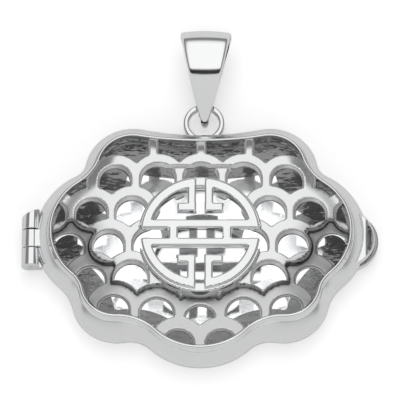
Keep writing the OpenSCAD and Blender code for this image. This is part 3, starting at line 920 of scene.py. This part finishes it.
pin_end = [(DIMPLE_DEPTH, PIN_AXIS), (DIMPLE_DEPTH, DIMPLE_FOOT), (0, PIN_DIMPLE),
           (0, PIN_R - PIN_EDGE), (PIN_EDGE, PIN_R)]
half = HINGE_L / 2
profile = [(HINGE[1] - half + y, r) for y, r in pin_end]
profile += [(HINGE[1] + half - y, r) for y, r in pin_end[::-1]]
points, faces = turned(profile, (HINGE[0], PART_Z))
make_piece("hinge_pin_wire", points, faces, "case", [bright], "hinge_pin")

# The thumb tabs of the catch on the right: a crescent on each half, the front one with a small
# sunk well for the nail, and a thin tongue behind that snaps inside the back wall.
TAB_L = 4.8
TAB_X = 17.5
TAB_STEP = 0.29
TAB_T = 0.85
TAB_BULGE = 1.2
TAB_SLOPE_X = 16.6
TAB_SLOPE = 0.62
WELL_IN = 0.78
WELL_HALF = 1.35
WELL_RIM = 0.17
WELL_DEPTH = 0.4
WELL_FLOOR = 2.3
WELL_EDGE = 0.06
WELL_FILLET = 0.15
TAB_FILLET = 0.1
TAB_GRID = 0.12
TAB_EDGE = 0.12
BACK_TAB_GRID = 0.15
BACK_TAB_EDGE = 0.08
TONGUE = ((15, 0.1, 1.55), (15.4, 2.1, 2.6))
PAINTED_SHADE_KIND = 1
tab_r = (TAB_L**2 / 4 + TAB_BULGE**2) / (2 * TAB_BULGE)


def crescent(reach_x):
    """Distance to the crescent: the circle that bulges to x = reach less the case's plan."""
    centre_x = reach_x - tab_r

    def field(p):
        lobe = WIDE[0]
        wall = -disc(p, lobe[0], lobe[1], lobe[2] - WALL / 2)
        return both_of(disc(p, centre_x, HINGE[1], tab_r), wall, TAB_FILLET)
    return field


def well(p):
    """Distance to the well: the tab's circle set in by its rim, cut off on the case's side."""
    strip = block(p, TAB_X - WELL_IN, TAB_X, HINGE[1] - WELL_HALF, HINGE[1] + WELL_HALF)
    return both_of(disc(p, TAB_X - tab_r, HINGE[1], tab_r - WELL_RIM), strip, WELL_FILLET)


def well_foot(p):
    """Zero at the foot of the well's edge."""
    return well(p) + WELL_EDGE


def tab_top(p):
    """The tab's face, sloping down outward and sunk inside the well behind a steep edge."""
    s = np.clip(-well(p) / WELL_EDGE, 0, 1)
    slope_drop = TAB_SLOPE * np.maximum(p[:, 0] - TAB_SLOPE_X, 0)
    return np.maximum(PART_Z + PART_GAP / 2 + TAB_T - slope_drop - WELL_DEPTH * s, WELL_FLOOR)


reach = ([14.5, -3], [18.5, 5])
z0 = PART_Z + PART_GAP / 2
points, faces, kinds = plate(crescent(TAB_X), tab_top, level(z0), *reach, TAB_GRID, TAB_EDGE,
                             seams=[well, well_foot])
# The well's floor takes the dark cast material: painted shade in the well.
middles = face_middles(points, faces, kinds)
kinds[:len(middles)][well_foot(middles) < 0] = PAINTED_SHADE_KIND
kinds[len(middles):] = 0
make_piece("front_thumb_tab", points, faces, "cover", [bright, cast_painted_shade], "front_rim", kinds)
z1 = PART_Z - PART_GAP / 2
points, faces, kinds = plate(crescent(TAB_X + TAB_STEP), level(z1), level(z1 - TAB_T), *reach,
                             BACK_TAB_GRID, BACK_TAB_EDGE)
# The back tab's face, in the gap under the front tab, takes the dark cast material: painted shade.
covered = len(face_middles(points, faces, kinds))
kinds = np.where(np.arange(len(kinds)) < covered, PAINTED_SHADE_KIND, 0)
make_piece("back_thumb_tab", points, faces, "case", [outside, cast_painted_shade], "back_case", kinds)
make_piece("catch_tongue", box_points(*TONGUE), box_faces(), "cover", [inside_painted_shade], "front_rim")

# The jump ring: flat-faced silver wire bent into a ring, polished bright and soldered to the
# top edge of the back half. The bail is threaded on it.
JUMP_R = 2.07
JUMP_W = 0.54
JUMP_T = 0.64
JUMP_AT = (0.22, 14.03, 1.44)
JUMP_EDGE = 0.05
JUMP_CHAMFER = 0.13
CHAMFER_FOOT = 0.6
CHAMFER_IN = 0.2
JUMP_STEPS = 120


def ring_section():
    """The ring's section in (out, up): rounded below, with a narrow slope round its flat face."""
    low = [(JUMP_EDGE * (1 - math.sin(a)), JUMP_EDGE * (1 - math.cos(a)))
           for a in quarter(LIP_STEPS, 0, 90)]
    high = [(0, JUMP_T - CHAMFER_FOOT * JUMP_CHAMFER),
            (CHAMFER_IN * JUMP_CHAMFER, JUMP_T - CHAMFER_SLOPE * JUMP_CHAMFER),
            (JUMP_CHAMFER, JUMP_T)]
    inner = low + high
    outer = [(JUMP_W - x, z) for x, z in inner[::-1]]
    return np.array([(JUMP_R - JUMP_W + x, z) for x, z in inner + outer])


def carried_round(section, centre, count):
    """A section turned about a line along z: (r cos a, r sin a, up) from the centre."""
    a = np.linspace(0, math.tau, count, endpoint=False)[None, :]
    r, z = section[:, :1], section[:, 1:]
    points = np.stack([centre[0] + r * np.cos(a), centre[1] + r * np.sin(a),
                       centre[2] + z + 0 * a], 2)
    return points.reshape(-1, 3), quads(len(section), count, True, True)


points, faces = carried_round(ring_section(), JUMP_AT, JUMP_STEPS)
make_piece("jump_ring", points, faces, "case", [bright], "back_case")

# The bail: a tapering strip of sheet silver rolled over at its wide top and brought together at
# the tip below, threaded on the jump ring. It is bowed a little across, and its long edges are
# bevelled.
BAIL_W = 5.15
BAIL_TIP_W = 0.8
BAIL_BULGE = 0.6
BAIL_T = 0.42
BAIL_X = 0.28
BAIL_LEAN = 0.6
BAIL_TIP_Y = 14.1
BAIL_BACK_TIP = (13.82, 1.2)
BAIL_TOP_Y = 23.74
TIP_ROUND = 0.4
FACE_SLOPE = 30
FACE_R = 5.6
FACE_CREST = (20.6, 5)
ROLL_TURN = 12.5
BACK_NARROWING = 0.2
BACK_LEVEL = 0.45
NARROW_LEVEL = 0.5
TIP_SHARE = 0.12
BEVEL_AT_TIP = 0.6
BEVEL_W = 0.3
BEVEL_T = 0.2
BOW = 0.2
LEAF_STEPS = 32
FACE_STEPS = 40
ROLL_STEPS = 60
BEVEL_STEPS = 9
ACROSS_STEPS = 12
bail_silver = silver("bail_silver", tone=0.9, rough=0.08)


def bail_path():
    """The outside of the folded strip seen from the side, from the front tip up a straight
    leaf, over a gentle arc and round the roll, then straight back to the rear tip: points and
    outward directions in (along, up)."""
    crest = np.array(FACE_CREST)
    face_turn = np.radians(np.linspace(90 + FACE_SLOPE, 90 - ROLL_TURN, FACE_STEPS))
    face_out = np.stack([np.cos(face_turn), np.sin(face_turn)], 1)
    face = crest - [0, FACE_R] + FACE_R * face_out
    tip_z = face[0, 1] - (face[0, 0] - BAIL_TIP_Y) * math.tan(math.radians(FACE_SLOPE))
    toward_tip = np.linspace(0, 1, LEAF_STEPS)[:, None] ** 2
    front = np.array([BAIL_TIP_Y, tip_z]) + (face[0] - [BAIL_TIP_Y, tip_z]) * toward_tip[:-1]
    roll_r = face[-1, 1] / (1 + math.cos(math.radians(ROLL_TURN)))
    middle = face[-1] - roll_r * face_out[-1]
    gap = np.array(BAIL_BACK_TIP) - middle
    end = math.atan2(gap[1], gap[0]) + math.acos(roll_r / np.linalg.norm(gap))
    roll_turn = np.linspace(math.radians(90 - ROLL_TURN), end, ROLL_STEPS)[1:]
    roll_out = np.stack([np.cos(roll_turn), np.sin(roll_turn)], 1)
    roll = middle + roll_r * roll_out
    back = np.array(BAIL_BACK_TIP) + (roll[-1] - BAIL_BACK_TIP) * toward_tip[-2::-1]
    path = np.vstack([front, face, roll, back])
    normal = np.vstack([np.repeat(face_out[:1], len(front), 0), face_out, roll_out,
                        np.repeat(roll_out[-1:], len(back), 0)])
    return path, normal


def strip():
    """The strip: a section with bevelled outer edges, as wide as the taper is at each place and
    bowed by BOW (x / half)^2, carried along the path. Both tips are rounded, and its two ends
    are closed flat."""
    path, normal = bail_path()
    share = np.clip((path[:, 0] - BAIL_TIP_Y) / (BAIL_TOP_Y - BAIL_TIP_Y), 0, 1)
    top = path[:, 1].max()
    behind = path[:, 1] < BACK_LEVEL * top
    narrow = share - BACK_NARROWING * np.clip(1 - path[:, 1] / (NARROW_LEVEL * top), 0, 1)
    share = np.where(behind, np.clip(narrow, 0, 1), share)
    half = (BAIL_TIP_W + (BAIL_W - BAIL_TIP_W) * share + BAIL_BULGE * np.sin(math.pi * share)) / 2
    walked = np.concatenate([[0], np.cumsum(np.linalg.norm(np.diff(path, axis=0), axis=1))])
    to_end = np.clip(np.minimum(walked, walked[-1] - walked) / TIP_ROUND, 0, 1)
    half = half * (TIP_SHARE + (1 - TIP_SHARE) * np.sqrt(1 - (1 - to_end) ** 2))
    bow = BOW * half / half.max()
    bevel = BEVEL_W * (BEVEL_AT_TIP + (1 - BEVEL_AT_TIP) * share)
    bevel = bevel * np.minimum(1, half / BEVEL_W / 2)
    left = [(-1, 1 - math.cos(a), 1 - math.sin(a)) for a in quarter(BEVEL_STEPS, 0, 90)]
    right = [(1, 1 - math.cos(a), 1 - math.sin(a)) for a in quarter(BEVEL_STEPS, 90, 0)]
    rows = []
    for s, inset, depth in left + right:
        rows.append((s * (half - inset * bevel), depth * BEVEL_T))
        if s < 0 and depth == 0:
            edge = half - bevel
            rows += [(edge * t, 0) for t in np.linspace(-1, 1, ACROSS_STEPS)[1:-1]]
    rows += [(half * t, BAIL_T) for t in np.linspace(1, -1, ACROSS_STEPS)]
    points = np.stack([
        np.column_stack([x, path - normal * (depth + bow * (x / half) ** 2)[:, None]])
        for x, depth in rows
    ])
    count, length = points.shape[:2]
    faces = quads(count, length, True, False).tolist()
    ends = np.arange(count) * length
    return points.reshape(-1, 3), faces + [ends[::-1].tolist(), (ends + length - 1).tolist()]


points, faces = strip()
lean = math.radians(-BAIL_LEAN)
from_tip = points[:, 1] - BAIL_TIP_Y
points = np.column_stack([
    BAIL_X + points[:, 0] * math.cos(lean) - from_tip * math.sin(lean),
    BAIL_TIP_Y + points[:, 0] * math.sin(lean) + from_tip * math.cos(lean),
    points[:, 2],
])
make_piece("bail_strip", points, faces, "case", [bail_silver], "bail")

# The stage: a sheet of plain white paper, large and level, on which the locket lies. It looks a
# little lighter to the camera than its own shade makes it.
FLOOR_HALF = 2
PAPER_WHITE = 0.9
PAPER_ROUGH = 0.9
PAPER_GLOW = 0.37
corners = [(x * FLOOR_HALF, y * FLOOR_HALF, 0) for x, y in ((-1, -1), (1, -1), (1, 1), (-1, 1))]
mesh = bpy.data.meshes.new("floor")
mesh.from_pydata(corners, [], [(0, 1, 2, 3)])
floor = bpy.data.objects.new("floor", mesh)
bpy.context.scene.collection.objects.link(floor)
paper = bpy.data.materials.new("white_paper")
paper.use_nodes = True
sheet = paper.node_tree.nodes["Principled BSDF"]
sheet.inputs["Base Color"].default_value = (PAPER_WHITE, PAPER_WHITE, PAPER_WHITE, 1)
sheet.inputs["Roughness"].default_value = PAPER_ROUGH
sheet.inputs["Specular IOR Level"].default_value = 0
seen = Wire(paper.node_tree).make("ShaderNodeLightPath", {}, {}, out="Is Camera Ray")
glow = seen * PAPER_GLOW
paper.node_tree.links.new(glow.socket, sheet.inputs["Emission Color"])
sheet.inputs["Emission Strength"].default_value = 1
mesh.materials.append(paper)

# The studio: a large soft light overhead, grey surroundings, and a darker frame beside the
# light with a dark patch for the camera's lens. Polished silver mirrors them as its shades.
LOWEST = 0.05
KEY_LIGHT = 1.05
KEY_FROM = (-0.31, -0.21)
KEY_TO = (0.85, 1.6)
KEY_SIDE = (0.28, 0.5)
SURROUND = 0.68
FRAME_DARK = 0.24
FRAME_ALONG = (-0.47, 3.0)
FRAME_SIDE = (1.6, 2.6)
LENS_DARK = 0.03
LENS_ALONG = (-0.47, -0.25)
LENS_SIDE = (0.5, 0.8)
SOFT = 0.03
FLOOR_GAIN = 1.4
BACKDROP = 0.9
world = bpy.data.worlds.new("studio")
bpy.context.scene.world = world
world.use_nodes = True
sky = world.node_tree
toward = Wire(sky).make("ShaderNodeTexCoord", {}, {}, out="Generated")
axes = [toward.make("ShaderNodeSeparateXYZ", {}, {"Vector": toward}, out=axis) for axis in "XYZ"]
side, back, height_up = axes
above = height_up.math("MAXIMUM", height_up, LOWEST)
across = side.math("ABSOLUTE", side / above)
along = back / above


def step_up(value, low, high):
    """0 below low, 1 above high, and 3 s^2 - 2 s^3 of the share s between."""
    return value.make("ShaderNodeMapRange", {"interpolation_type": "SMOOTHSTEP"}, {
        "Value": value, "From Min": low, "From Max": high})


def within(value, low, high):
    """1 between low and high, 0 outside, with soft edges."""
    return step_up(value, low - SOFT, low + SOFT) * (1 - step_up(value, high - SOFT, high + SOFT))


key = step_up(along, *KEY_FROM) * (1 - step_up(along, *KEY_TO)) * (1 - step_up(across, *KEY_SIDE))
frame_part = within(along, *FRAME_ALONG) * (1 - step_up(across, *FRAME_SIDE))
lens = within(along, *LENS_ALONG) * (1 - step_up(across, *LENS_SIDE))
dark = FRAME_DARK + (LENS_DARK - FRAME_DARK) * lens
light = SURROUND + (dark - SURROUND) * frame_part
light = light + (KEY_LIGHT - light) * key
seen = light.make("ShaderNodeLightPath", {}, {}, out="Is Camera Ray")
scattered = light.make("ShaderNodeLightPath", {}, {}, out="Is Diffuse Ray")
light = light * (1 + (FLOOR_GAIN - 1) * scattered)
background = sky.nodes["Background"]
sky.links.new((light + (BACKDROP - light) * seen).socket, background.inputs["Color"])
bpy.context.scene.view_settings.view_transform = "Standard"

# The camera: a long lens a metre off, tilted from straight above toward the locket's lower
# edge and turned a little to the side.
AIM = Vector((-0.08, 4.64, 4.3)) * MM
TILT = math.radians(22.8)
SLANT = math.radians(1)
AWAY = 1.0
LENS_MM = 897
SENSOR_MM = 36
NEAREST = 0.01
camera_data = bpy.data.cameras.new("camera")
camera_data.lens = LENS_MM
camera_data.sensor_width = SENSOR_MM
camera_data.clip_start = NEAREST
camera = bpy.data.objects.new("camera", camera_data)
level_part = math.cos(SLANT)
direction = Vector((math.sin(SLANT), -math.sin(TILT) * level_part, math.cos(TILT) * level_part))
right = Vector((1, 0, 0)) - direction * direction.x
right.normalize()
up = direction.cross(right)
turn = Matrix((right, up, direction)).transposed().to_4x4()
camera.matrix_world = Matrix.Translation(AIM + direction * AWAY) @ turn
bpy.context.scene.collection.objects.link(camera)
bpy.context.scene.camera = camera
